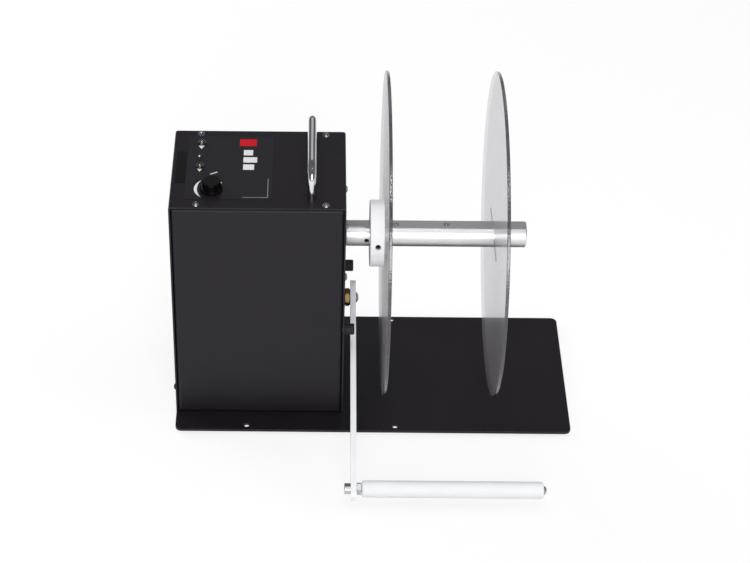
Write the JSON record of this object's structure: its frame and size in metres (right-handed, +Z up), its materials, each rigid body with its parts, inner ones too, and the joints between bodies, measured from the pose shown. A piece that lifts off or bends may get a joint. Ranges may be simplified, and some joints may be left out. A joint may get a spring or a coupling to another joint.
{
  "type": "label rewinder",
  "caption": "Motor box on a base plate turning a spindle between two clear flange discs, with a dancer arm and roller that winds label stock into a roll",
  "frame": {"origin": "Middle of the object's box, on the floor under the feet", "axes": "+X along the spindle away from the box, +Y from the user's side to the back, +Z up"},
  "size_m": [0.375, 0.3404, 0.3245],
  "materials": {
    "black_steel": "fine-textured black powder coat, satin",
    "panel_film": "printed black polyester film, satin",
    "zinc_steel": "bright zinc plate",
    "chrome": "bright chrome plate",
    "turned_aluminium": "satin machined aluminium",
    "white_plastic": "turned white plastic, satin",
    "clear_acrylic": "clear cast acrylic, polished faces, cut edges",
    "black_plastic": "moulded black plastic, fine grain",
    "black_oxide": "black oxide steel",
    "black_rubber": "moulded black rubber, matt",
    "bush_brass": "machined brass, satin",
    "board_green": "solder-masked board"
  },
  "bodies": {
    "housing": {"base_plate": "black_steel", "rubber_feet": "black_rubber", "base_screws": "zinc_steel", "cover": "black_steel", "front_panel": "black_steel", "rear_panel": "black_steel", "cover_screws": "zinc_steel", "side_screws": "zinc_steel", "carry_handle": "chrome", "handle_screws": "zinc_steel", "control_overlay": "panel_film", "blank_label": "panel_film", "potentiometer": "zinc_steel", "potentiometer_nut": "zinc_steel", "back_toggle": "zinc_steel", "front_toggle": "zinc_steel", "toggle_nuts": "zinc_steel", "gearbox": "turned_aluminium", "motor": "black_steel", "motor_screws": "zinc_steel", "bush_washer": "black_rubber", "pivot_bush": "bush_brass", "bush_nut": "bush_brass", "sensor_bracket": "zinc_steel", "arm_sensor": "black_plastic", "lift_stop": "black_rubber", "rest_stop": "black_rubber", "stop_screws": "zinc_steel", "circuit_board": "board_green", "board_components": "black_plastic", "board_spacers": "white_plastic", "board_screws": "zinc_steel", "power_inlet": "black_plastic", "inlet_nut": "zinc_steel"},
    "spindle_unit": {"spindle": "turned_aluminium", "spindle_grub": "black_oxide", "drive_shaft": "zinc_steel", "hub": "white_plastic", "hub_grub_screw": "black_oxide", "inner_disc": "clear_acrylic", "disc_screws": "zinc_steel", "plunger_sleeves": "zinc_steel"},
    "outer_flange": {"outer_disc": "clear_acrylic"},
    "inner_core_pin": {"inner_plunger": "zinc_steel"},
    "outer_core_pin": {"outer_plunger": "zinc_steel"},
    "arm_unit": {"tension_arm": "turned_aluminium", "pivot_shaft": "zinc_steel", "arm_washer": "black_rubber", "pivot_screw": "zinc_steel", "sensor_vane": "zinc_steel", "roller_axle": "zinc_steel", "axle_nut": "zinc_steel", "axle_end_screw": "zinc_steel"},
    "roller_unit": {"roller": "white_plastic", "roller_bushes": "bush_brass"},
    "speed_knob": {"knob": "black_plastic", "potentiometer_shaft": "zinc_steel"},
    "back_switch_lever": {"back_lever": "chrome"},
    "front_switch_lever": {"front_lever": "chrome"}
  },
  "joints": [
    {"name": "spindle_turn", "type": "hinge", "parent": "housing", "child": "spindle_unit", "pos_m": [-0.01748, 0.02019, 0.1745], "axis": [1, 0, 0], "continuous": true},
    {"name": "outer_disc_slide", "type": "slide", "parent": "spindle_unit", "child": "outer_flange", "axis": [1, 0, 0], "range_m": [-0.086, 0.026]},
    {"name": "inner_plunger_press", "type": "slide", "parent": "spindle_unit", "child": "inner_core_pin", "axis": [0, 0, -1], "range_m": [0, 0.0009], "stiffness_N_per_m": 300},
    {"name": "outer_plunger_press", "type": "slide", "parent": "spindle_unit", "child": "outer_core_pin", "axis": [0, 0, -1], "range_m": [0, 0.0009], "stiffness_N_per_m": 300},
    {"name": "arm_lift", "type": "hinge", "parent": "housing", "child": "arm_unit", "pos_m": [-0.01948, 0.03519, 0.087], "axis": [-1, 0, 0], "range_deg": [0, 21]},
    {"name": "roller_turn", "type": "hinge", "parent": "arm_unit", "child": "roller_unit", "pos_m": [0.07052, -0.15959, 0.01993], "axis": [1, 0, 0], "continuous": true},
    {"name": "knob_turn", "type": "hinge", "parent": "housing", "child": "speed_knob", "pos_m": [-0.14828, -0.01281, 0.2495], "axis": [0, 0, 1], "range_deg": [-150, 150]},
    {"name": "back_lever_throw", "type": "hinge", "parent": "housing", "child": "back_switch_lever", "pos_m": [-0.16008, 0.06019, 0.2477], "axis": [1, 0, 0], "range_deg": [-12.5, 12.5]},
    {"name": "front_lever_throw", "type": "hinge", "parent": "housing", "child": "front_switch_lever", "pos_m": [-0.16008, 0.02239, 0.2477], "axis": [1, 0, 0], "range_deg": [-12.5, 12.5]}
  ]
}
